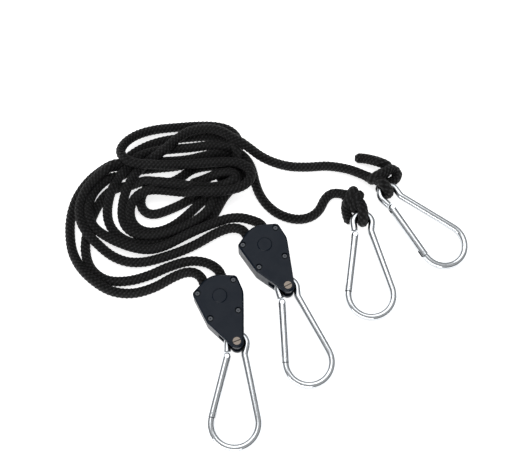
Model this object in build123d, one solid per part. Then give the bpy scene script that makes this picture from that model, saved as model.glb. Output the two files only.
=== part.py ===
from build123d import *
import math
import os

# A pair of adjustable rope hangers as they come out of the packet. Each one is a ratchet block with
# a spring hook in its eye, and a rope that runs round the block's wheel and ends in a knot on a
# second spring hook. Millimetres, +Z up. The surface they lie on is z = 0, and the origin is on it,
# under the wheel axle of the near block. In a block's own frame +Y runs from its eye to its wheel.

os.makedirs("parts", exist_ok=True)

# Rope and the clearances between parts
rope_diameter = 6.0
running_gap = 0.3       # between faces that pass each other
pin_gap = 0.05          # radial, of a hole on its pin
floor_gap = 0.05        # under what rests on the surface

# Block housing: two covers that meet halfway up
block_thickness = 15.6
cover_plate = 2.0
side_wall = 1.8
edge_bevel = 1.1
eye_distance = 33.8     # wheel axle to eye screw
ear_radius = 4.6
arch_radius = 15.6      # the open mouth's edge, about the axle
mouth_half = 9.9        # the mouth's half width
mouth_bottom = 9.0
boss_radius = 5.2
boss_height = 0.7

# Cover screws: left shoulder, right shoulder, left side, right side
screw_places = [(-13.6, 7.0), (12.7, 7.6), (-11.3, -12.9), (8.3, -14.1)]
screw_radius = 1.1
screw_head_radius = 1.4
screw_head_height = 1.0
counterbore_radius = 2.4
counterbore_depth = 1.5
post_radius = 2.7

# Eye of the block
eye_bolt_radius = 1.5
eye_head_radius = 2.7
eye_head_height = 1.3
sleeve_radius = 2.6
nut_across = 5.5
nut_height = 2.0

# Wheel and its ratchet
rope_pitch_radius = 6.6
wheel_hub_radius = 3.2
wheel_radius = 9.3
tooth_count = 12
tooth_depth = 1.3
tooth_phase = 57.0      # where one tooth's steep face stands, degrees
grip_count = 12
grip_depth = 0.5
grip_width = 0.9
bush_radius = 2.5
axle_radius = 1.8
axle_inset = 1.2        # how far a pin goes into each cover

# Pawl
pawl_pivot = (-2.0, 12.5)
pawl_hub_radius = 2.4
pawl_pin_radius = 1.2
pawl_thickness = 1.3
pawl_tail = (-5.3, 13.7)
pawl_tail_width = 2.0
spring_wire = 0.5

# Spring hook
wire_diameter = 5.0
hook_length = 80.0
bow_width = 36.4
loop_width = 18.2
neck_x = 5.4            # the spine's kink below the narrow loop
neck_y = -6.8
neck_bend = 4.0
hinge_x = -6.5          # the gate's rivet
hinge_y = -8.8
hinge_neck = 3.4        # wire end to rivet
gate_diameter = 5.5
blade_thickness = 2.0
blade_gap = 0.25
rivet_radius = 1.0
rivet_head_radius = 1.5
rivet_head_height = 0.4
latch_depth = 4.6       # how far the latch blade goes into the gate
latch_pin_radius = 0.7
latch_pin_inset = 2.6
latch_width = 3.4

# Where things lie: x, y and the direction of travel in degrees, towards the bow of the hook
near_block = (0.0, 0.0, -69.2)
far_block = (30.8, 37.6, -62.0)
near_block_hook_heading = -91.3
far_block_hook_heading = -74.8
near_end_hook = (100.8, 56.7, -85.7)    # centre of the narrow loop
far_end_hook = (121.0, 79.2, -45.2)

# Rope routes, from the block to the coil and from the coil to the knot. The first point of a
# strand at a block is worked out from the block, so these start with the one after it.
near_load_route = [(-6.7, 27.9, 6.4), (-15.0, 31.4, 4.4), (-26.0, 31.8, 3.1), (-38.2, 27.4, 3.0),
                   (-51.6, 20.6, 3.0), (-67.0, 16.4, 3.0), (-81.0, 17.6, 3.0), (-91.0, 26.0, 3.0),
                   (-94.6, 39.5, 3.0), (-95.4, 51.5, 3.0)]
near_tail_route = [(-18.2, 20.6, 6.6), (-25.2, 21.2, 5.0), (-34.5, 17.5, 3.2), (-46.4, 10.1, 3.0),
                   (-60.7, 5.5, 3.0), (-75.7, 6.5, 3.0), (-87.8, 13.5, 3.0), (-97.9, 23.2, 3.0),
                   (-104.9, 35.3, 3.0), (-108.0, 48.9, 3.0), (-108.5, 62.9, 3.0), (-106.0, 76.7, 3.0),
                   (-99.0, 88.5, 3.0)]
far_load_route = [(21.8, 62.9, 6.6), (14.0, 64.8, 4.8), (4.2, 63.6, 3.2), (-6.5, 58.8, 3.0)]
far_tail_route = [(10.4, 55.2, 6.4), (2.2, 54.6, 4.4), (-6.9, 50.2, 3.1), (-14.5, 45.2, 3.0)]
near_end_route = [(7.0, 117.5, 4.4), (17.5, 112.5, 3.6), (22.7, 104.0, 3.1), (25.0, 94.0, 3.0),
                  (28.2, 83.0, 3.0), (34.2, 73.5, 3.0), (43.2, 66.0, 3.0), (54.0, 62.6, 3.0),
                  (64.5, 64.0, 3.0), (71.5, 69.5, 3.4), (76.0, 77.5, 4.8), (88.0, 80.0, 6.8)]
far_end_route = [(5.0, 128.0, 8.0), (17.5, 120.5, 6.4), (31.0, 110.8, 3.6), (46.5, 104.6, 3.0),
                 (62.0, 104.0, 3.0), (77.0, 105.4, 3.0), (91.0, 102.6, 3.2), (107.0, 94.4, 6.4)]

# The loose coil that both ropes share: its outer edge, its hole and its height
coil_edge = [((-100.5, 47.0), 12.0), ((-78.0, 26.0), 22.0), ((-58.0, 22.0), 20.0), ((-9.0, 38.0), 9.0),
             ((2.0, 78.0), 12.0), ((20.5, 79.0), 9.0), ((20.5, 106.0), 12.0), ((8.0, 142.0), 15.0),
             ((-40.0, 141.0), 30.0), ((-80.0, 126.0), 14.0), ((-84.0, 106.0), 4.0), ((-101.0, 96.0), 14.0),
             ((-103.5, 66.0), 20.0)]
coil_hole = [((-62.0, 64.0), 5.0), ((-51.0, 52.0), 5.0), ((-37.0, 56.0), 5.0), ((-23.0, 73.0), 3.0),
             ((-46.0, 77.5), 5.0)]
coil_height = 12.0
coil_rounding = 5.0

# Knots: the rope's eye about the hook's wire, and the lumps and tail of the knot behind it
eye_height = 9.8
near_knot_lumps = [((93.0, 78.0, 7.6), 7.2), ((98.6, 72.8, 8.2), 6.2)]
near_knot_tail = [(92.0, 76.0, 7.0), (88.6, 67.0, 3.6), (87.4, 58.0, 3.0)]
far_knot_lumps = [((124.6, 97.6, 7.6), 5.8), ((110.4, 91.2, 8.2), 6.2), ((116.6, 98.4, 8.0), 6.8)]
far_knot_tail = [(117.0, 100.0, 8.0), (110.5, 109.5, 5.0), (98.0, 113.0, 3.0)]

# Worked out from the sizes above
rope_radius = rope_diameter / 2
wire_radius = wire_diameter / 2
half_block = block_thickness / 2
ear_gap = wire_diameter + 2 * 1.1
ear_thickness = (block_thickness - ear_gap) / 2
loop_radius = loop_width / 2 - wire_radius
bow_radius = bow_width / 2 - wire_radius
bow_y = loop_width / 2 + bow_width / 2 - hook_length
bow_end = -bow_y + bow_radius           # loop centre to the bow's far centreline
wheel_bottom = cover_plate + running_gap
wheel_top = block_thickness - wheel_bottom
groove_half = rope_radius + running_gap
eye_ring_radius = loop_radius           # the rope's eye passes through the middle of the loop
outline = [(4.4, -0.5, 12.0), (12.8, 8.0, 3.2), (0.0, 0.0, arch_radius), (-14.6, 7.2, 2.3),
           (-9.0, -13.0, 5.6), (0.0, -eye_distance, ear_radius)]


def belt(circles, grow=0.0):
    """The face inside a belt pulled tight round circles (x, y, radius), listed anticlockwise."""
    grown = [(x, y, r + grow) for x, y, r in circles]
    normals = []
    for (x0, y0, r0), (x1, y1, r1) in zip(grown, grown[1:] + grown[:1]):
        along = math.atan2(y1 - y0, x1 - x0)
        normals.append(along - math.acos((r0 - r1) / math.hypot(x1 - x0, y1 - y0)))
    edges = []
    for i, (x, y, r) in enumerate(grown):
        start = normals[i - 1]
        turn = (normals[i] - start) % (2 * math.pi)
        a, m, b = [(x + r * math.cos(t), y + r * math.sin(t))
                   for t in (start, start + turn / 2, start + turn)]
        edges.append(ThreePointArc(a, m, b))
        x1, y1, r1 = grown[(i + 1) % len(grown)]
        edges.append(Line(b, (x1 + r1 * math.cos(normals[i]), y1 + r1 * math.sin(normals[i]))))
    return make_face(edges)


def slab(face, bottom, top):
    return Pos(0, 0, bottom) * extrude(face, top - bottom)


def pin(radius, bottom, top, at=(0.0, 0.0)):
    return Pos(at[0], at[1], (bottom + top) / 2) * Cylinder(radius, top - bottom)


def block(x_low, x_high, y_low, y_high, bottom, top):
    return Pos((x_low + x_high) / 2, (y_low + y_high) / 2, (bottom + top) / 2) * Box(
        x_high - x_low, y_high - y_low, top - bottom)


def back_cover():
    """Plate, side wall, screw posts and ear, as moulded, before any hole."""
    solid = slab(belt(outline), 0, half_block) - slab(belt(outline, -side_wall), cover_plate, half_block)
    wall_end = loop_width / 2 + 0.7 - eye_distance
    solid -= block(-mouth_half, mouth_half, mouth_bottom, 2 * arch_radius, cover_plate, half_block)
    solid -= block(-arch_radius, arch_radius, -2 * eye_distance, wall_end, cover_plate, half_block)
    posts = [pin(post_radius, 0, half_block, at) for at in screw_places]
    ear = block(-arch_radius, arch_radius, -2 * eye_distance, wall_end, 0, ear_thickness)
    for extra in posts + [ear]:
        solid += extra & slab(belt(outline), 0, half_block)
    solid = chamfer(solid.faces().sort_by(Axis.Z)[0].edges(), edge_bevel)
    return solid


def finished_covers():
    """Both covers with their holes; the front one carries the boss and the counterbores."""
    back = back_cover()
    front = mirror(back, about=Plane.XY.offset(half_block))
    boss = pin(boss_radius, block_thickness, block_thickness + boss_height)
    front += chamfer(boss.faces().sort_by(Axis.Z)[-1].edges(), boss_height - 0.1)
    head_floor = block_thickness - counterbore_depth
    for at in screw_places:
        front -= pin(screw_radius, 0, block_thickness, at)
        front -= pin(counterbore_radius, head_floor, block_thickness, at)
        back -= pin(screw_radius, cover_plate, half_block, at)
    eye = (0.0, -eye_distance)
    front -= pin(eye_bolt_radius, 0, block_thickness, eye)
    front -= pin(eye_head_radius, block_thickness - eye_head_height, block_thickness, eye)
    back -= pin(eye_bolt_radius, 0, half_block, eye)
    back -= nut_body(eye)
    for radius, at in ((axle_radius, (0.0, 0.0)), (pawl_pin_radius, pawl_pivot)):
        hole = pin(radius, cover_plate - axle_inset, block_thickness - cover_plate + axle_inset, at)
        front -= hole
        back -= hole
    return front, back


def nut_body(at):
    hexagon = RegularPolygon(nut_across / 2, 6, major_radius=False)
    return Pos(at[0], at[1], 0) * extrude(hexagon, nut_height)


def cover_screw(at):
    """Self-tapping screw with a cross recess in its pan head."""
    head_floor = block_thickness - counterbore_depth
    head_top = head_floor + screw_head_height
    solid = pin(screw_radius, cover_plate, head_floor, at) + pin(screw_head_radius, head_floor, head_top, at)
    for turn in (0, 90):
        arm = Pos(at[0], at[1], head_top) * Rot(0, 0, turn) * Box(1.7, 0.35, 0.9)
        solid -= arm
    return solid


def eye_parts():
    """Slotted bolt, the sleeve that the hook hangs on, and its nut."""
    at = (0.0, -eye_distance)
    head_floor = block_thickness - eye_head_height
    bolt = pin(eye_bolt_radius, 0, head_floor, at)
    bolt += pin(eye_head_radius, head_floor, block_thickness, at)
    bolt -= Pos(at[0], at[1], block_thickness) * Box(2 * eye_head_radius, 0.7, 1.2)
    sleeve = pin(sleeve_radius, ear_thickness, block_thickness - ear_thickness, at)
    sleeve -= pin(eye_bolt_radius, 0, block_thickness, at)
    nut = nut_body(at) - pin(eye_bolt_radius, 0, nut_height, at)
    return bolt, sleeve, nut


def tooth_outline():
    """Saw teeth: a steep face, then a ramp up to the next one."""
    points = []
    for k in range(tooth_count):
        angle = math.radians(tooth_phase + k * 360 / tooth_count)
        for radius in (wheel_radius, wheel_radius - tooth_depth):
            points.append((radius * math.cos(angle), radius * math.sin(angle)))
    return make_face(Polyline(*points, close=True))


def wheel_half(toothed):
    """One flange and half of the hub, with the shallow grooves that grip the rope."""
    if toothed:
        flange = slab(tooth_outline(), half_block + groove_half, wheel_top)
        hub = pin(wheel_hub_radius, half_block, wheel_top)
        inner = half_block + groove_half
    else:
        flange = pin(wheel_radius, wheel_bottom, half_block - groove_half)
        hub = pin(wheel_hub_radius, wheel_bottom, half_block)
        inner = half_block - groove_half
    solid = flange + hub - pin(bush_radius, 0, block_thickness)
    reach = wheel_radius - tooth_depth - 0.6
    for k in range(grip_count):
        groove = Pos((wheel_hub_radius + 0.4 + reach) / 2, 0, inner) * Box(
            reach - wheel_hub_radius - 0.4, grip_width, 2 * grip_depth)
        solid -= Rot(0, 0, (k + 0.5) * 360 / grip_count) * groove
    return solid


def pawl_parts():
    """Pawl with its tip in the wheel's teeth, the pin it turns on, and its torsion spring."""
    top = wheel_top
    bottom = top - pawl_thickness
    steep = math.radians(tooth_phase)
    face = (math.cos(steep), math.sin(steep))
    side = (-face[1], face[0])
    inner = wheel_radius - tooth_depth + running_gap
    tip = [(face[0] * r + side[0] * running_gap, face[1] * r + side[1] * running_gap)
           for r in (inner, wheel_radius + 0.4)]
    arm = [tip[0], tip[1], (4.7, 10.0), (pawl_pivot[0] + 1.2, pawl_pivot[1] + 2.0),
           (pawl_pivot[0] - 0.8, pawl_pivot[1] - 2.2), (1.6, 9.9), (3.1, 8.9)]
    hub = pin(pawl_hub_radius, bottom, top, pawl_pivot)
    solid = slab(make_face(Polyline(*arm, close=True)), bottom, top) + hub
    tail = belt([(pawl_pivot[0], pawl_pivot[1], pawl_tail_width / 2),
                 (pawl_tail[0], pawl_tail[1], pawl_tail_width / 2)])
    solid += slab(tail, bottom, top)
    solid -= pin(pawl_pin_radius + pin_gap, 0, block_thickness, pawl_pivot)
    axle = pin(pawl_pin_radius, cover_plate - axle_inset, block_thickness - cover_plate + axle_inset,
               pawl_pivot)
    ring_outer = pawl_pin_radius + running_gap + spring_wire
    low = bottom - spring_wire
    ring = pin(ring_outer, low, bottom, pawl_pivot)
    leg = Pos(pawl_pivot[0] + 2.6, pawl_pivot[1] - spring_wire / 2 - 0.6, (low + bottom) / 2) * Box(
        3.6, spring_wire, spring_wire)
    spring = ring + leg - pin(pawl_pin_radius + running_gap, 0, block_thickness, pawl_pivot)
    return solid, axle, spring


def tangent_angle(centre, radius, point, side):
    """Angle on the circle at which a line from the point touches it; side is 1 or -1."""
    dx, dy = point[0] - centre[0], point[1] - centre[1]
    return math.atan2(dy, dx) + side * math.acos(radius / math.hypot(dx, dy))


def on_circle(centre, radius, angle):
    return (centre[0] + radius * math.cos(angle), centre[1] + radius * math.sin(angle))


def swept(path, radius):
    start = Plane(origin=path @ 0, z_dir=path % 0)
    return sweep(start * Circle(radius), path=path)


def hook_frame():
    """Points of the hook that its wire and its gate share, in the hook's own plane."""
    loop, bow = (0.0, 0.0), (0.0, bow_y)
    kink, hinge = (neck_x, neck_y), (hinge_x, hinge_y)
    wire_end = (hinge_x, hinge_y + hinge_neck)
    latch_angle = tangent_angle(bow, bow_radius, hinge, 1)
    latch = on_circle(bow, bow_radius, latch_angle)
    along = math.atan2(latch[1] - hinge[1], latch[0] - hinge[0])
    return loop, bow, kink, hinge, wire_end, latch, latch_angle, along


def hook_wire():
    """The bent wire: latch end, bow, spine, kink, narrow loop and the flat that carries the rivet."""
    loop, bow, kink, hinge, wire_end, latch, latch_angle, along = hook_frame()
    spine = tangent_angle(bow, bow_radius, kink, -1)
    right = tangent_angle(loop, loop_radius, kink, 1)
    left = tangent_angle(loop, loop_radius, wire_end, -1) % (2 * math.pi)
    bow_start = latch_angle + running_gap / bow_radius
    bottom = (bow_start + spine + 2 * math.pi) / 2
    arc_bow = ThreePointArc(*[on_circle(bow, bow_radius, t) for t in (bow_start, bottom, spine)])
    neck = FilletPolyline(on_circle(bow, bow_radius, spine), kink, on_circle(loop, loop_radius, right),
                          radius=neck_bend)
    arc_loop = ThreePointArc(*[on_circle(loop, loop_radius, t) for t in (right, (right + left) / 2, left)])
    shank = Line(on_circle(loop, loop_radius, left), wire_end)
    wire = swept(Wire([arc_bow] + neck.edges() + [arc_loop, shank]), wire_radius)

    flat = belt([(wire_end[0], wire_end[1] + 1.0, 2.0), (hinge[0], hinge[1], 2.2)])
    half = blade_thickness / 2
    wire += slab(flat, -half, half)
    wire -= pin(rivet_radius, -gate_diameter, gate_diameter, hinge)

    blade = Pos((1.5 - latch_depth) / 2, 0) * Rectangle(latch_depth + 1.5, latch_width)
    notch = Circle(latch_pin_radius + running_gap) + Pos(0, latch_width) * Rectangle(
        2 * (latch_pin_radius + running_gap), 2 * latch_width)
    blade -= Pos(-latch_pin_inset, 0) * notch
    to_latch = Pos(latch[0], latch[1], 0) * Rot(0, 0, math.degrees(along))
    return wire + to_latch * slab(blade, -half, half)


def gate_parts():
    """Gate, its hinge rivet, and the cross pin that drops into the latch blade's notch."""
    _, _, _, hinge, _, latch, _, along = hook_frame()
    radius = gate_diameter / 2
    length = math.hypot(latch[0] - hinge[0], latch[1] - hinge[1]) - running_gap
    to_hinge = Pos(hinge[0], hinge[1], 0) * Rot(0, 0, math.degrees(along))
    half_slot = blade_thickness / 2 + blade_gap
    gate = Pos(length / 2, 0, 0) * Rot(0, 90, 0) * Cylinder(radius, length) + Sphere(radius)
    gate -= block(-radius, radius + running_gap, -radius, radius, -half_slot, half_slot)
    gate -= block(length - latch_depth - running_gap, length + 1, -radius, radius, -half_slot, half_slot)
    gate -= pin(rivet_radius + pin_gap, -radius, radius)
    latch_at = (length + running_gap - latch_pin_inset, 0.0)
    gate -= pin(latch_pin_radius, -radius, radius, latch_at)
    rivet = pin(rivet_radius, -radius, radius)
    for end in (-1, 1):
        rivet += Pos(0, 0, end * (radius + rivet_head_height / 2)) * Cylinder(
            rivet_head_radius, rivet_head_height)
    cross_pin = pin(latch_pin_radius, 0.3 - radius, radius - 0.3, latch_at)
    return to_hinge * gate, to_hinge * rivet, to_hinge * cross_pin


def route_radii(points):
    """The largest radius each corner's two runs allow, and the shortest run beside it."""
    radii = []
    for a, b, c in zip(points, points[1:], points[2:]):
        before, after = Vector(*b) - Vector(*a), Vector(*c) - Vector(*b)
        half_turn = math.radians(before.get_angle(after)) / 2
        radii.append(0.45 * min(before.length, after.length) / math.tan(half_turn))
    return radii


def rope(name, points):
    """A length of rope: straight runs joined by arcs."""
    radii = route_radii(points)
    path = FilletPolyline(*points, radius=radii)
    solid = swept(path, rope_radius)
    shown = " ".join(f"{r:.0f}" for r in radii)
    ratio = solid.volume / (math.pi * rope_radius ** 2 * path.length)
    print(f"{name}: {path.length:.0f} mm, radii {shown}, volume ratio {ratio:.3f}")
    return solid


def strand_start(place, side):
    """Where a strand leaves the mouth of a block; side is 1 for the load, -1 for the tail."""
    x, y, heading = place
    at = Pos(x, y, 0) * Rot(0, 0, heading + 90) * Pos(side * rope_pitch_radius, arch_radius, half_block)
    return at.position


def mouth_run(place, side, length):
    """A point straight out of the mouth, so that the strand leaves it in line."""
    x, y, heading = place
    reach = arch_radius + length
    at = Pos(x, y, 0) * Rot(0, 0, heading + 90) * Pos(side * rope_pitch_radius, reach, half_block)
    return at.position


def strand(name, place, side, out, route):
    points = [strand_start(place, side), mouth_run(place, side, out)] + [Vector(*p) for p in route]
    return rope(name, [tuple(p) for p in points])


def rope_wrap():
    """The rope inside a block: down one side of the wheel, round it and up the other."""
    r = rope_pitch_radius
    down = Line((-r, arch_radius, half_block), (-r, 0, half_block))
    bend = ThreePointArc((-r, 0, half_block), (0, -r, half_block), (r, 0, half_block))
    up = Line((r, 0, half_block), (r, arch_radius, half_block))
    return swept(Wire([down, bend, up]), rope_radius)


def rounded_outline(corners):
    points = [p for p, _ in corners]
    radii = [r for _, r in corners]
    return make_face(FilletPolyline(*points, radius=radii, close=True))


def rope_coil():
    """The outer shape of the loose coil, with the hole in its middle."""
    solid = slab(rounded_outline(coil_edge), 0, coil_height)
    solid = fillet(solid.faces().sort_by(Axis.Z)[-1].edges(), coil_rounding)
    return solid - slab(rounded_outline(coil_hole), 0, coil_height)


def knot(hinge, heading, lumps, tail):
    """The rope's eye round the hook's wire, the lumps of the knot, and the tail it leaves."""
    ring = Torus(eye_ring_radius, rope_radius)
    solid = Pos(*hinge) * Rot(0, 0, heading + 90) * Rot(0, 90, 0) * ring
    for centre, radius in lumps:
        solid += Pos(*centre) * Rot(90, 0, 0) * Sphere(radius)
    radii = route_radii(tail)
    return solid + swept(FilletPolyline(*tail, radius=radii), rope_radius)


def save(name, solid, place=Location()):
    solid = place * solid
    solid.label = name
    export_step(solid, f"parts/{name}.step")
    low, high = solid.bounding_box().min, solid.bounding_box().max
    print(f"{name}: {len(solid.solids())} solid, z {low.Z:.2f} to {high.Z:.2f}")


def save_block(name, place):
    x, y, heading = place
    at = Pos(x, y, 0) * Rot(0, 0, heading + 90)
    front, back = finished_covers()
    save(f"{name}_front_cover", front, at)
    save(f"{name}_back_cover", back, at)
    for number, where in enumerate(screw_places, 1):
        save(f"{name}_cover_screw_{number}", cover_screw(where), at)
    for part, solid in zip(("eye_bolt", "eye_sleeve", "eye_nut"), eye_parts()):
        save(f"{name}_{part}", solid, at)
    save(f"{name}_wheel_front", wheel_half(True), at)
    save(f"{name}_wheel_back", wheel_half(False), at)
    bush = pin(bush_radius, wheel_bottom, wheel_top) - pin(axle_radius + pin_gap, 0, block_thickness)
    save(f"{name}_wheel_bush", bush, at)
    axle = pin(axle_radius, cover_plate - axle_inset, block_thickness - cover_plate + axle_inset)
    save(f"{name}_wheel_axle", axle, at)
    for part, solid in zip(("pawl", "pawl_pin", "pawl_spring"), pawl_parts()):
        save(f"{name}_{part}", solid, at)
    save(f"{name}_rope_wrap", rope_wrap(), at)


def save_hook(name, at):
    save(f"{name}_hook_wire", hook_wire(), at)
    for part, solid in zip(("gate", "gate_rivet", "gate_catch"), gate_parts()):
        save(f"{name}_{part}", solid, at)


def block_hook_place(place, heading):
    """A hook in a block's eye, its bow down on the surface."""
    x, y, block_heading = place
    eye = (Pos(x, y, 0) * Rot(0, 0, block_heading + 90) * Pos(0, -eye_distance, half_block)).position
    tilt = math.degrees(math.asin((half_block - wire_radius - floor_gap) / bow_end))
    return Pos(*eye) * Rot(0, 0, heading + 90) * Rot(tilt, 0, 0)


def end_hook_hinge(place):
    """The middle of the narrow loop's wire, where the rope's eye holds an end hook."""
    x, y, heading = place
    turn = math.radians(heading)
    return (x - loop_radius * math.cos(turn), y - loop_radius * math.sin(turn), eye_height)


def end_hook_place(place):
    tilt = math.degrees(math.asin((eye_height - wire_radius - floor_gap) / (bow_end + loop_radius)))
    at = Pos(*end_hook_hinge(place)) * Rot(0, 0, place[2] + 90) * Rot(tilt, 0, 0)
    return at * Pos(0, -loop_radius, 0)


save_block("near", near_block)
save_block("far", far_block)
save_hook("near_block", block_hook_place(near_block, near_block_hook_heading))
save_hook("far_block", block_hook_place(far_block, far_block_hook_heading))
save_hook("near_end", end_hook_place(near_end_hook))
save_hook("far_end", end_hook_place(far_end_hook))

save("near_load_rope", strand("near_load_rope", near_block, 1, 6.0, near_load_route))
save("near_tail_rope", strand("near_tail_rope", near_block, -1, 5.0, near_tail_route))
save("far_load_rope", strand("far_load_rope", far_block, 1, 5.0, far_load_route))
save("far_tail_rope", strand("far_tail_rope", far_block, -1, 5.0, far_tail_route))
save("near_end_rope", rope("near_end_rope", near_end_route))
save("far_end_rope", rope("far_end_rope", far_end_route))
save("rope_coil", rope_coil())
save("near_knot", knot(end_hook_hinge(near_end_hook), near_end_hook[2], near_knot_lumps, near_knot_tail))
save("far_knot", knot(end_hook_hinge(far_end_hook), far_end_hook[2], far_knot_lumps, far_knot_tail))
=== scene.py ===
import bpy
import math
import numpy as np
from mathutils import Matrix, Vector


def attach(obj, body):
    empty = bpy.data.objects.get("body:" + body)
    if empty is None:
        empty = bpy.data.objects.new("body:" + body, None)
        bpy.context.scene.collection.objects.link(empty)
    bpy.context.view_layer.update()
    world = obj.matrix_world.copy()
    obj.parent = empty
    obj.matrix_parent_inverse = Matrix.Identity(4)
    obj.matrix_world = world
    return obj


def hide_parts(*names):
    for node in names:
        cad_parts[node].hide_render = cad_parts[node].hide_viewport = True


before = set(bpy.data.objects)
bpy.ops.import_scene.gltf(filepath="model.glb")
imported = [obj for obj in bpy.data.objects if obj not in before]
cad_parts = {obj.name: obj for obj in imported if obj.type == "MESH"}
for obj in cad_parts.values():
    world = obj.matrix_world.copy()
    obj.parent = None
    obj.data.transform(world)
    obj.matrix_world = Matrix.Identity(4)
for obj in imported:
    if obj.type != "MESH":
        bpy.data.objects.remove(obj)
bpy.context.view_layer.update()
mm = 0.001


# Materials

def newMaterial(name):
    material = bpy.data.materials.new(name)
    material.use_nodes = True
    nodes = material.node_tree.nodes
    return material, nodes, material.node_tree.links, nodes["Principled BSDF"]


def addNode(nodes, kind, **values):
    node = nodes.new(kind)
    for name, value in values.items():
        if hasattr(node, name):
            setattr(node, name, value)
        else:
            node.inputs[name.replace("_", " ")].default_value = value
    return node


def addNoise(nodes, links, scale, detail=3.0):
    place = addNode(nodes, "ShaderNodeTexCoord")
    noise = addNode(nodes, "ShaderNodeTexNoise", Scale=scale, Detail=detail)
    links.new(place.outputs["Object"], noise.inputs["Vector"])
    return noise


noiseSpan = (0.3, 0.7)   # where most of a noise texture's values lie


def addRange(nodes, links, source, low, high):
    spread = addNode(nodes, "ShaderNodeMapRange")
    spread.inputs["From Min"].default_value = noiseSpan[0]
    spread.inputs["From Max"].default_value = noiseSpan[1]
    spread.inputs["To Min"].default_value = low
    spread.inputs["To Max"].default_value = high
    links.new(source, spread.inputs["Value"])
    return spread.outputs["Result"]


def addBump(nodes, links, height, strength, distance, shader):
    bump = addNode(nodes, "ShaderNodeBump")
    bump.inputs["Strength"].default_value = strength
    bump.inputs["Distance"].default_value = distance
    links.new(height, bump.inputs["Height"])
    links.new(bump.outputs["Normal"], shader.inputs["Normal"])


plastic = {"color": (0.0046, 0.0088, 0.0165), "shine": 0.13, "roughness": (0.30, 0.42),
           "cloudScale": 160.0, "grainScale": 2600.0, "grainStrength": 0.35, "grain": 0.00006}


def plasticMaterial():
    material, nodes, links, shader = newMaterial("satin black plastic")
    shader.inputs["Base Color"].default_value = (*plastic["color"], 1)
    shader.inputs["Specular IOR Level"].default_value = plastic["shine"]
    cloud = addNoise(nodes, links, plastic["cloudScale"])
    roughness = addRange(nodes, links, cloud.outputs["Fac"], *plastic["roughness"])
    links.new(roughness, shader.inputs["Roughness"])
    grain = addNoise(nodes, links, plastic["grainScale"], 2.0)
    addBump(nodes, links, grain.outputs["Fac"], plastic["grainStrength"], plastic["grain"], shader)
    return material


metals = {
    "bright zinc plate": {
        "color": (0.74, 0.77, 0.80), "roughness": (0.10, 0.22), "scale": 500.0, "wear": 0.18},
    "dark zinc": {
        "color": (0.075, 0.08, 0.088), "roughness": (0.28, 0.42), "scale": 1500.0, "wear": 0.3},
    "warm nickel": {
        "color": (0.20, 0.17, 0.145), "roughness": (0.25, 0.40), "scale": 1200.0, "wear": 0.3},
    "die cast metal": {
        "color": (0.42, 0.43, 0.45), "roughness": (0.42, 0.6), "scale": 1100.0, "wear": 0.3},
    "plain steel": {
        "color": (0.48, 0.48, 0.50), "roughness": (0.25, 0.4), "scale": 1300.0, "wear": 0.25}}
paintedShadeAndPits = {"reach": 0.02, "from": 0.35, "to": 0.85, "color": (0.16, 0.17, 0.18),
           "pitStrength": 0.15, "pitDepth": 0.00005}   # painted shade: the metal's colour darkens near its neighbours and the floor; the pits are bumps only


def metalMaterial(name):
    look = metals[name]
    material, nodes, links, shader = newMaterial(name)
    shader.inputs["Metallic"].default_value = 1.0
    noise = addNoise(nodes, links, look["scale"], 4.0)
    mix = addNode(nodes, "ShaderNodeMix", data_type="RGBA")
    for socket in mix.inputs:
        if socket.type == "RGBA" and socket.name == "A":
            socket.default_value = (*[c * (1 - look["wear"]) for c in look["color"]], 1)
        if socket.type == "RGBA" and socket.name == "B":
            socket.default_value = (*look["color"], 1)
    result = [s for s in mix.outputs if s.type == "RGBA"][0]
    links.new(noise.outputs["Fac"], mix.inputs["Factor"])
    # painted shade: ambient occlusion darkens the base colour where the metal is close to other parts
    # or the floor
    nearness = addNode(nodes, "ShaderNodeAmbientOcclusion", samples=8)
    nearness.inputs["Distance"].default_value = paintedShadeAndPits["reach"]
    shade = addNode(nodes, "ShaderNodeValToRGB")
    shade.color_ramp.elements[0].position = paintedShadeAndPits["from"]
    shade.color_ramp.elements[1].position = paintedShadeAndPits["to"]
    shade.color_ramp.elements[0].color = (*paintedShadeAndPits["color"], 1)
    links.new(nearness.outputs["AO"], shade.inputs["Fac"])
    shadedColor = addNode(nodes, "ShaderNodeVectorMath", operation="MULTIPLY")
    links.new(result, shadedColor.inputs[0])
    links.new(shade.outputs["Color"], shadedColor.inputs[1])
    links.new(shadedColor.outputs["Vector"], shader.inputs["Base Color"])
    roughness = addRange(nodes, links, noise.outputs["Fac"], *look["roughness"])
    links.new(roughness, shader.inputs["Roughness"])
    addBump(nodes, links, noise.outputs["Fac"], paintedShadeAndPits["pitStrength"], paintedShadeAndPits["pitDepth"], shader)
    return material


# painted shade and highlight: the groove colour is near-black painted shade in the braid's grooves, and
# the crown colour is the cord's own black lightened by a painted highlight
ropeLook = {"groove": (0.0003, 0.0003, 0.0003), "crownWithHighlight": (0.034, 0.034, 0.036), "roughness": 0.5,
            "grooveEnd": 0.78, "shine": 0.25, "sheen": 0.015, "sheenRoughness": 0.4,
            "yarns": 3.0, "yarnLean": 35, "yarnStrength": 0.6, "yarnDepth": 0.0004}


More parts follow.
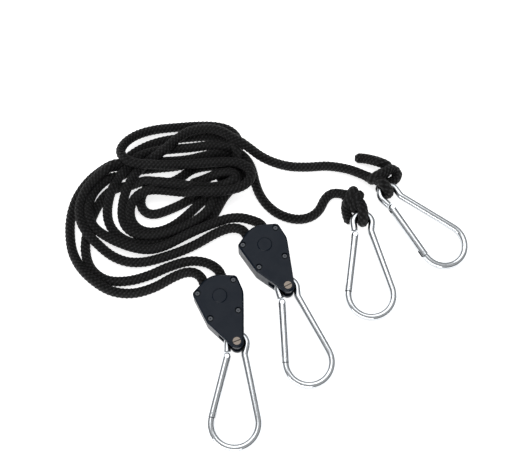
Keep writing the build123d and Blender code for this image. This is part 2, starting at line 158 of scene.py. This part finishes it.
def ropeMaterial():
    material, nodes, links, shader = newMaterial("black braided cord")
    rib = addNode(nodes, "ShaderNodeAttribute", attribute_name="rib")
    # painted shade and highlight: the ramp on rib height darkens the grooves and lightens the crowns of
    # the braid
    ramp = addNode(nodes, "ShaderNodeValToRGB")
    ramp.color_ramp.elements[0].position = ropeLook["grooveEnd"]
    ramp.color_ramp.elements[0].color = (*ropeLook["groove"], 1)
    ramp.color_ramp.elements[1].position = 1.0
    ramp.color_ramp.elements[1].color = (*ropeLook["crownWithHighlight"], 1)
    links.new(rib.outputs["Fac"], ramp.inputs["Fac"])
    links.new(ramp.outputs["Color"], shader.inputs["Base Color"])
    shader.inputs["Roughness"].default_value = ropeLook["roughness"]
    shader.inputs["Specular IOR Level"].default_value = ropeLook["shine"]
    shader.inputs["Sheen Weight"].default_value = ropeLook["sheen"]
    shader.inputs["Sheen Roughness"].default_value = ropeLook["sheenRoughness"]
    uv = addNode(nodes, "ShaderNodeUVMap", uv_map="UVMap")
    mapping = addNode(nodes, "ShaderNodeMapping")
    mapping.inputs["Rotation"].default_value = (0, 0, math.radians(ropeLook["yarnLean"]))
    mapping.inputs["Scale"].default_value = (ropeLook["yarns"], ropeLook["yarns"], 1)
    wave = addNode(nodes, "ShaderNodeTexWave", Scale=1.0, Distortion=1.2)
    wave.inputs["Detail Scale"].default_value = 2.0
    links.new(uv.outputs["UV"], mapping.inputs["Vector"])
    links.new(mapping.outputs["Vector"], wave.inputs["Vector"])
    addBump(nodes, links, wave.outputs["Fac"], ropeLook["yarnStrength"], ropeLook["yarnDepth"], shader)
    return material


blackPlastic = plasticMaterial()
zincPlate = metalMaterial("bright zinc plate")
darkScrew = metalMaterial("dark zinc")
nickel = metalMaterial("warm nickel")
castMetal = metalMaterial("die cast metal")
plainSteel = metalMaterial("plain steel")
braid = ropeMaterial()


def finishFor(name):
    if "cover_screw" in name or "eye_nut" in name:
        return darkScrew
    if "eye_bolt" in name or "eye_sleeve" in name:
        return nickel
    if "cover" in name:
        return blackPlastic
    if "axle" in name or "bush" in name or "pawl" in name:
        return plainSteel
    if "wheel" in name:
        return castMetal
    if "rope" in name or "knot" in name:
        return braid
    return zincPlate


for name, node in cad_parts.items():
    node.data.materials.clear()
    node.data.materials.append(finishFor(name))
print("finishes on", len(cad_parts), "parts")


# Rope: routes in millimetres, seen from above

rope = {"diameter": 6.0, "step": 0.6, "around": 36, "ribs": 6, "stitch": 3.1, "relief": 1.0,
        "swell": 0.32, "rightShare": 0.80, "leftShare": 0.20, "meanRib": 0.7,
        "tipRings": 5, "tipShrink": 0.12}
pile = {"step": 1.5,          # between the points of a strand while it is laid
        "smooth": 2.4,        # rounds the corners of a route
        "orderSmooth": 4.0,   # blends one run's order into the next
        "touch": 0.98,        # diameters apart at which two strands meet
        "selfGap": 5,         # diameters along a strand before it can cross itself
        "rounds": 260,
        "stiff": 3.2,         # how gently a strand rides over another
        "settle": 0.02,       # how much each round lets the pile sink
        "top": 15.0}          # highest centre of a strand
blocks = {"near": (0.0, 0.0, -69.2), "far": (30.8, 37.6, -62.0)}
mouth = {"side": 6.6, "reach": 15.6, "height": 7.8}


def blockPoint(name, x, y, z):
    cx, cy, heading = blocks[name]
    turn = math.radians(heading + 90)
    across, along = math.cos(turn), math.sin(turn)
    return (cx + x * across - y * along, cy + x * along + y * across, z)


def mouthPoints(name, side, run):
    return [blockPoint(name, side * mouth["side"], mouth["reach"] + d, mouth["height"])
            for d in (0.0, run)]


# Each run is an order, then its points; where two strands cross, the higher order lies on top
nearLoad = [
    (5, mouthPoints("near", 1, 3.6) + [
        (-5.2, 24.8, 6.6), (-12.6, 28.4, 4.6), (-23.6, 29.2), (-37.6, 25.0), (-51.6, 18.6),
        (-66, 14.8), (-80.4, 15.6), (-91.4, 23.6)]),
    (1, [(-96.4, 36.0), (-96.8, 49.0), (-94.2, 62.0), (-90.2, 73.0), (-84.6, 82.0), (-76.4, 87.2)]),
    (8, [(-63, 88.8), (-49, 87.8), (-38, 88.4)]),
    (6, [(-30, 93.5), (-22.5, 100.0), (-12, 103.0)]),
    (2, [(1.0, 103.0), (9.5, 96.0), (8.0, 87.0)]),
    (4, [(2.8, 79.8), (-1.6, 72.6), (-6.2, 64.4), (-13.2, 57.4), (-21.6, 52.5), (-32.6, 47.4),
         (-43.8, 44.2), (-54.8, 42.6), (-66.3, 44.6), (-75.4, 50.2), (-80.6, 57.4), (-82.6, 65.0),
         (-82.4, 73.0), (-80.4, 82.0)]),
    (5, [(-76.4, 92.4), (-70.0, 102.0), (-60.5, 109.6), (-49.0, 114.8), (-37.0, 116.8), (-24.0, 117.6),
         (-9.0, 118.6), (2.6, 116.8)]),
    (4, [(12.4, 113.0), (18.6, 107.0), (22.0, 99.6), (24.0, 91.0), (27.2, 81.8), (33.2, 72.8),
         (42.2, 65.6), (54.0, 62.0), (64.4, 63.8), (71.0, 69.6, 3.4), (74.4, 76.8, 4.0),
         (80.0, 81.6, 5.2), (88.0, 80.4, 6.8)])]

farLoad = [
    (6, mouthPoints("far", 1, 2.6) + [
        (21.4, 59.6, 6.8), (13.8, 61.6, 5.0), (4.2, 60.8, 3.2), (-6.9, 56.4)]),
    (5, [(-18, 51.2), (-29, 45.4), (-40, 39.8), (-50.5, 37.2), (-62.0, 38.6), (-73.6, 42.8),
         (-83.0, 47.8), (-90.6, 53.6), (-95.2, 62.0), (-96.0, 72.0), (-93.0, 81.5), (-86.0, 90.0)]),
    (3, [(-76.0, 96.6), (-64.0, 101.0), (-50.0, 103.0), (-35.0, 104.6), (-20.0, 108.0), (-7.0, 111.0),
         (4.0, 110.6), (11.6, 104.0), (11.0, 93.5), (4.0, 85.6)]),
    (5, [(-3.6, 79.6), (-6.8, 72.6), (-10.4, 66.0), (-16.0, 60.8), (-23.2, 56.2), (-31.0, 52.4),
         (-41.0, 49.2), (-52.0, 48.0), (-61.5, 49.6), (-68.2, 54.6), (-71.4, 62.0), (-71.8, 70.4),
         (-70.2, 80.0)]),
    (6, [(-66.2, 91.0), (-59.5, 100.6), (-50.4, 107.0)]),
    (9, [(-42.5, 113.5), (-35.0, 121.5), (-26.0, 128.4), (-14.0, 131.0), (-3.0, 129.0)]),
    (6, [(7.0, 122.8), (18.6, 115.6), (31.0, 108.0), (46.5, 103.6), (62.0, 103.4), (77.0, 104.6),
         (91.0, 102.2), (100.0, 98.4, 4.6), (107.0, 94.4, 6.4)])]

nearTail = [
    (6, mouthPoints("near", -1, 3.4) + [
        (-17.6, 19.6, 6.6), (-24.6, 20.4, 5.0), (-34.0, 16.9, 3.2), (-46.4, 10.0), (-60.7, 5.7),
        (-75.2, 6.8), (-87.8, 13.6), (-98.0, 23.4), (-105.2, 35.5), (-108.5, 49.0), (-109.0, 62.9),
        (-106.2, 76.2),
        (-99.8, 87.4), (-91.4, 95.4), (-82.0, 100.6)]),
    (4, [(-71.0, 104.6), (-58.0, 106.6), (-42.0, 106.0), (-26.0, 107.2), (-12.0, 110.8), (0.0, 113.4)]),
    (2, [(10.6, 110.6), (15.8, 102.0), (13.6, 92.4), (6.0, 85.6)]),
    (5, [(-7.0, 79.8), (-15.6, 73.6), (-22.2, 67.2), (-29.0, 60.8), (-37.0, 55.2), (-46.0, 51.8),
         (-55.4, 51.8), (-63.0, 56.6), (-66.0, 64.8), (-64.6, 73.0)]),
    (7, [(-59.0, 79.0), (-50.0, 81.8), (-38.0, 81.2)]),
    (10, [(-24.0, 79.6), (-10.0, 78.6), (3.6, 79.4), (15.0, 83.0), (21.4, 90.6), (18.2, 98.8),
          (6.0, 102.4), (-10.0, 102.6), (-24.0, 101.4), (-46.0, 100.4), (-60.0, 101.0)]),
    (6, [(-69.6, 104.4), (-75.2, 112.0), (-72.6, 120.8)]),
    (5, [(-66.0, 127.8), (-57.3, 132.6), (-46.6, 135.8), (-32.0, 137.8), (-20.0, 138.8), (-7.1, 138.6),
         (4.0, 135.6), (10.6, 128.4)]),
    (3, [(11.8, 119.0), (9.6, 108.0), (3.6, 98.0), (-4.0, 92.0)])]

farTail = [
    (5, mouthPoints("far", -1, 3.2) + [
        (9.8, 53.9, 6.4), (2.2, 53.0, 4.4), (-6.9, 49.0, 3.1), (-17.0, 43.0),
        (-29.0, 37.2), (-42.5, 32.2), (-55.0, 29.0), (-67.0, 29.2), (-78.0, 33.6), (-87.2, 41.0)]),
    (7, [(-95.0, 48.8), (-100.0, 57.0), (-102.0, 66.0), (-100.8, 75.0), (-96.4, 84.0), (-89.0, 92.0)]),
    (5, [(-80.0, 99.4), (-71.4, 107.8), (-63.4, 115.6), (-53.4, 121.8), (-41.0, 125.8), (-26.0, 127.6),
         (-10.0, 127.6), (2.0, 124.4), (9.6, 116.4), (10.6, 106.4)]),
    (1, [(6.6, 96.4), (-1.6, 87.4), (-13.0, 81.6), (-23.5, 77.6)]),
    (4, [(-30.0, 73.6), (-36.6, 70.4), (-43.4, 67.4), (-50.4, 65.6), (-56.4, 68.0), (-59.2, 74.0),
         (-57.8, 81.4)]),
    (9, [(-51.4, 86.6), (-41.0, 86.0), (-27.0, 84.4), (-12.0, 83.6), (1.6, 84.6), (10.6, 89.6)]),
    (8, [(7.0, 94.6), (-3.0, 94.2), (-13.6, 91.8), (-24.0, 90.2)])]


def plainRoute(runs):
    points, orders = [], []
    for order, run in runs:
        for p in run:
            points.append(p if len(p) == 3 else (*p, rope["diameter"] / 2))
            orders.append(order)
    return np.array(points, float), np.array(orders, float)


def evenSteps(line, carried, step):
    along = np.concatenate([[0], np.cumsum(np.linalg.norm(np.diff(line, axis=0), axis=1))])
    count = max(2, int(round(along[-1] / step)) + 1)
    wanted = np.linspace(0, along[-1], count)
    even = np.stack([np.interp(wanted, along, line[:, k]) for k in range(3)], axis=1)
    return even, np.interp(wanted, along, carried)


curvePoints = 24        # along the curve between two points of a route


def throughPoints(points, extra, step):
    padded = np.vstack([2 * points[0] - points[1], points, 2 * points[-1] - points[-2]])
    line, carried = [], []
    for k in range(len(points) - 1):
        a, b, c, d = padded[k:k + 4]
        steps = np.linspace(0, 1, curvePoints, endpoint=False)[:, None]
        line.append(0.5 * (2 * b + (c - a) * steps + (2 * a - 5 * b + 4 * c - d) * steps ** 2
                           + (3 * b - a - 3 * c + d) * steps ** 3))
        carried.append(np.full(curvePoints, extra[k]))
    line = np.vstack(line + [points[-1:]])
    carried = np.append(np.concatenate(carried), extra[-1])
    return evenSteps(line, carried, step)


def softened(values, step, width):
    reach = max(1, int(3 * width / step))
    weights = np.exp(-0.5 * (np.arange(-reach, reach + 1) * step / width) ** 2)
    weights /= weights.sum()
    flat = values.reshape(len(values), -1)
    ends = [2 * flat[0] - flat[reach:0:-1], flat, 2 * flat[-1] - flat[-2:-reach - 2:-1]]
    long = np.vstack(ends)
    out = np.stack([np.convolve(long[:, k], weights, "valid") for k in range(long.shape[1])], axis=1)
    return out.reshape(values.shape)


# Lay all strands on the surface, each one over those of a lower order that it crosses
def layDown(routes):
    step, thick = pile["step"], rope["diameter"]
    lines = []
    for runs in routes:
        points, orders = plainRoute(runs)
        line, order = throughPoints(points, orders, step)
        line = softened(line, step, pile["smooth"])
        line[0] = points[0]
        lines.append((line, softened(order, step, pile["orderSmooth"])))
    where = np.vstack([line for line, _ in lines])
    order = np.concatenate([o for _, o in lines])
    owner = np.concatenate([np.full(len(line), k) for k, (line, _) in enumerate(lines)])
    place = np.concatenate([np.arange(len(line)) * step for line, _ in lines])
    gap = np.hypot(where[:, None, 0] - where[None, :, 0], where[:, None, 1] - where[None, :, 1])
    near = gap < thick * pile["touch"]
    other = owner[:, None] != owner[None, :]
    apart = other | (np.abs(place[:, None] - place[None, :]) > pile["selfGap"] * thick)
    above = order[:, None] > order[None, :]
    upper, lower = np.nonzero(near & apart & above)
    lift = np.sqrt(thick ** 2 - gap[upper, lower] ** 2)
    base = where[:, 2].copy()
    height = base.copy()
    for turn in range(pile["rounds"]):
        short = np.clip(lift - (height[upper] - height[lower]), 0, None) * 0.5
        up, down = np.zeros(len(height)), np.zeros(len(height))
        np.maximum.at(up, upper, short)
        np.maximum.at(down, lower, short)
        height = height + up - down - pile["settle"]
        for k in range(len(lines)):
            mine = owner == k
            soft = softened(height[mine], step, pile["stiff"])
            soft[0], soft[-1] = base[mine][0], max(base[mine][-1], soft[-1])
            height[mine] = soft
        height = np.clip(height, base, pile["top"])
    done = []
    for k, (line, _) in enumerate(lines):
        laid = line.copy()
        laid[:, 2] = height[owner == k]
        done.append(laid)
    print("rope pile is", round(float(height.max() + thick / 2), 1), "mm high")
    return done


# A braided tube along the line; a tip narrows towards its last rings
def tubeMesh(name, line, radius, tip=False):
    line, _ = evenSteps(np.asarray(line, float), np.zeros(len(line)), rope["step"])
    tangent = np.gradient(line, axis=0)
    tangent /= np.linalg.norm(tangent, axis=1)[:, None]
    side = np.cross(tangent[0], (0.0, 0.0, 1.0))
    if np.linalg.norm(side) < 0.1:
        side = np.cross(tangent[0], (0.0, 1.0, 0.0))
    side /= np.linalg.norm(side)
    around, starts, stitch = rope["around"], rope["ribs"], rope["stitch"]
    angle = np.arange(around) * 2 * math.pi / around
    rings, ribs = [], []
    along = 0.0
    for k in range(len(line)):
        side = side - tangent[k] * side.dot(tangent[k])
        side /= np.linalg.norm(side)
        other = np.cross(tangent[k], side)
        if k:
            along += np.linalg.norm(line[k] - line[k - 1])
        right = along / stitch + starts * angle / (2 * math.pi)
        left = along / stitch - starts * angle / (2 * math.pi)
        rib = (rope["rightShare"] * np.sqrt(np.abs(np.cos(math.pi * right)))
               + rope["leftShare"] * np.abs(np.cos(math.pi * left)))
        shrink = 1.0
        if tip and k > len(line) - rope["tipRings"]:
            shrink = 1 - rope["tipShrink"] * (k - len(line) + rope["tipRings"])
        r = (radius + rope["swell"] + rope["relief"] * (rib - rope["meanRib"])) * shrink
        rings.append(line[k] + np.outer(r * np.cos(angle), side) + np.outer(r * np.sin(angle), other))
        ribs.append(rib)
    points = np.vstack(rings) * mm
    count = len(line)
    faces = []
    for k in range(count - 1):
        a, b = k * around, (k + 1) * around
        for j in range(around):
            n = (j + 1) % around
            faces.append((a + j, a + n, b + n, b + j))
    faces.append(tuple(range(around - 1, -1, -1)))
    faces.append(tuple((count - 1) * around + j for j in range(around)))
    mesh = bpy.data.meshes.new(name)
    mesh.from_pydata(points.tolist(), [], faces)
    ribHeight = mesh.attributes.new("rib", "FLOAT", "POINT")
    ribHeight.data.foreach_set("value", np.concatenate(ribs).astype(np.float32))
    uv = mesh.uv_layers.new(name="UVMap")
    corner = []
    for k in range(count - 1):
        for j in range(around):
            u0, u1 = j * starts / around, (j + 1) * starts / around
            v0, v1 = k * rope["step"] / stitch, (k + 1) * rope["step"] / stitch
            corner += [u0, v0, u1, v0, u1, v1, u0, v1]
    corner += [0.0] * (4 * around)   # both end faces
    uv.data.foreach_set("uv", corner)
    mesh.shade_smooth()
    mesh.materials.append(braid)
    made = bpy.data.objects.new(name, mesh)
    bpy.context.scene.collection.objects.link(made)
    return made, line


laid = layDown([nearLoad, farLoad, nearTail, farTail])


# Knots: the rope's eye round the hook's wire, its turns about itself and the short tail

knot = {"step": 1.0, "smooth": 1.2, "extra": 0.25}   # extra is how much fatter the knotted rope is


def turnsAbout(start, axis, radius, first, quarters, rise):
    up = Vector((0, 0, 1))
    axis = Vector(axis).normalized()
    flat = axis.cross(up).normalized() * -1
    points = []
    for k in range(quarters + 1):
        a = math.radians(first + 90 * k)
        points.append(tuple(Vector(start) + axis * rise * k
                            + flat * radius * math.cos(a) + up * radius * math.sin(a)))
    return points


def knotMesh(name, points):
    points = np.array(points, float)
    line, _ = throughPoints(points, np.zeros(len(points)), knot["step"])
    line = softened(line, knot["step"], knot["smooth"])
    line[:, 2] = np.maximum(line[:, 2], rope["diameter"] / 2)
    return tubeMesh(name, line, rope["diameter"] / 2 + knot["extra"], tip=True)


nearKnotRoute = [
    (86.6, 79.6, 6.5), (90.0, 79.6, 7.6), (94.5, 76.6, 9.4), (98.6, 71.6, 12.4), (100.2, 66.6, 15.0),
    (100.5, 62.8, 15.7), (100.9, 59.2, 13.8), (101.0, 57.2, 9.8), (100.9, 59.2, 5.8),
    (100.2, 63.6, 3.9),
    (99.6, 67.6, 4.6), (98.8, 70.4, 5.4),
    *turnsAbout((98.0, 72.6, 8.8), (-0.775, 0.632, 0), 5.4, 0, 6, 1.3),
    (90.2, 72.6, 6.4), (90.4, 66.0, 3.8), (92.6, 58.8, 3.0)]
farKnotRoute = [
    (105.6, 95.2, 6.0), (109.0, 92.6, 7.6), (113.0, 89.0, 11.4), (115.4, 85.8, 15.0),
    (117.4, 83.2, 15.6),
    (119.8, 80.8, 13.6), (120.6, 79.8, 9.8), (119.6, 80.8, 6.0), (117.0, 83.8, 3.8), (115.6, 86.8, 4.4),
    (119.6, 89.6, 4.6), (125.4, 91.8, 5.4), (128.4, 96.0, 7.6), (124.0, 98.8, 10.2),
    (118.2, 95.6, 12.4),
    (112.6, 92.0, 13.2), (109.0, 91.0, 9.6), (110.6, 93.2, 4.4), (115.0, 96.4, 3.4), (120.4, 98.4, 4.4),
    (121.6, 102.2, 8.0), (116.4, 104.4, 9.6), (111.0, 108.0, 6.6), (104.6, 111.0, 3.8),
    (98.2, 111.6, 3.0)]

nearKnot, _ = knotMesh("near_rope_knot", nearKnotRoute)
farKnot, _ = knotMesh("far_rope_knot", farKnotRoute)
for made, node in ((nearKnot, "near_knot"), (farKnot, "far_knot")):
    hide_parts(node)
    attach(made, "hangers")
print("knots tied")

cords = [
    ("near_load_cord", laid[0], "knot", [nearKnot], ["near_load_rope", "near_end_rope", "rope_coil"]),
    ("far_load_cord", laid[1], "knot", [farKnot], ["far_load_rope", "far_end_rope", "rope_coil"]),
    ("near_tail_cord", laid[2], "bare", [], ["near_tail_rope", "rope_coil"]),
    ("far_tail_cord", laid[3], "bare", [], ["far_tail_rope", "rope_coil"])]
for name, line, end, pieces, nodes in cords:
    made, path = tubeMesh(name, line, rope["diameter"] / 2, tip=end == "bare")
    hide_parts(*nodes)
    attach(made, "hangers")


# Rope inside each block: in at one side of the mouth, round the wheel and out at the other side

bendPoints = 25
side, reach, height = mouth["side"], mouth["reach"], mouth["height"]
straight = range(1, int(reach) + 1)   # millimetres along each straight
bend = [(side * math.cos(a), side * math.sin(a)) for a in np.linspace(-math.pi, 0, bendPoints)]
wrapRun = ([(-side, reach - k) for k in (0, *straight)] + bend
           + [(side, k) for k in straight] + [(side, reach)])
for name in blocks:
    points = [blockPoint(name, x, y, height) for x, y in wrapRun]
    wrap, _ = tubeMesh(f"{name}_wheel_rope", points, rope["diameter"] / 2)
    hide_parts(f"{name}_rope_wrap")
    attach(wrap, "hangers")
print("rope round both wheels")


# Floor, light and camera

setting = {"floorHalf": 4, "floorColor": (0.93, 0.93, 0.93), "floorRoughness": 0.9,
           "floorShine": 0.1, "floorGlow": 0.75,
           "sky": 0.46, "lowSky": 0.02, "lowEdge": (0.15, 0.60)}   # lowEdge is where the low sky ends
lamps = {"aim": (0.02, 0.04, 0),
         "key": {"at": (-0.15, 0.50, 1.15), "size": (1.3, 1.1), "power": 8.4},
         "fill": {"at": (-0.45, -1.25, 0.52), "size": (1.8, 0.3), "power": 12.0}}
half = setting["floorHalf"]
floorMesh = bpy.data.meshes.new("floor")
floorMesh.from_pydata([(-half, -half, 0), (half, -half, 0), (half, half, 0), (-half, half, 0)], [],
                      [(0, 1, 2, 3)])
floor = bpy.data.objects.new("floor", floorMesh)
bpy.context.scene.collection.objects.link(floor)
floorMaterial, nodes, links, shader = newMaterial("pale floor")
shader.inputs["Base Color"].default_value = (*setting["floorColor"], 1)
shader.inputs["Roughness"].default_value = setting["floorRoughness"]
shader.inputs["Specular IOR Level"].default_value = setting["floorShine"]
shader.inputs["Emission Color"].default_value = (1, 1, 1, 1)
shader.inputs["Emission Strength"].default_value = setting["floorGlow"]
floorMesh.materials.append(floorMaterial)

world = bpy.data.worlds.new("soft room")
bpy.context.scene.world = world
world.use_nodes = True
nodes, links = world.node_tree.nodes, world.node_tree.links
direction = addNode(nodes, "ShaderNodeTexCoord")
split = addNode(nodes, "ShaderNodeSeparateXYZ")
band = addNode(nodes, "ShaderNodeMapRange", interpolation_type="SMOOTHSTEP")
band.inputs["From Min"].default_value = setting["lowEdge"][0]
band.inputs["From Max"].default_value = setting["lowEdge"][1]
band.inputs["To Min"].default_value = setting["lowSky"]
band.inputs["To Max"].default_value = setting["sky"]
links.new(direction.outputs["Generated"], split.inputs["Vector"])
links.new(split.outputs["Z"], band.inputs["Value"])
links.new(band.outputs["Result"], nodes["Background"].inputs["Strength"])
nodes["Background"].inputs["Color"].default_value = (1, 1, 1, 1)


def aimed(thing, at, aim):
    thing.location = at
    thing.rotation_euler = (Vector(aim) - Vector(at)).to_track_quat("-Z", "Y").to_euler()
    bpy.context.scene.collection.objects.link(thing)
    return thing


def areaLight(name):
    data = bpy.data.lights.new(name, "AREA")
    data.shape = "RECTANGLE"
    data.size, data.size_y = lamps[name]["size"]
    data.energy = lamps[name]["power"]
    return aimed(bpy.data.objects.new(name, data), lamps[name]["at"], lamps["aim"])


key = areaLight("key")
fill = areaLight("fill")

view = {"at": (0.02615, -0.1779, 0.5608), "aim": (0.02615, 0.04869, 0.0), "lens": 58.6,
        "sensor": 36.0, "clip": 0.01}
cameraData = bpy.data.cameras.new("camera")
cameraData.lens = view["lens"]
cameraData.sensor_width = view["sensor"]
cameraData.clip_start = view["clip"]
camera = aimed(bpy.data.objects.new("camera", cameraData), view["at"], view["aim"])
bpy.context.scene.camera = camera
bpy.context.scene.view_settings.view_transform = "Standard"
print("floor, light and camera set")
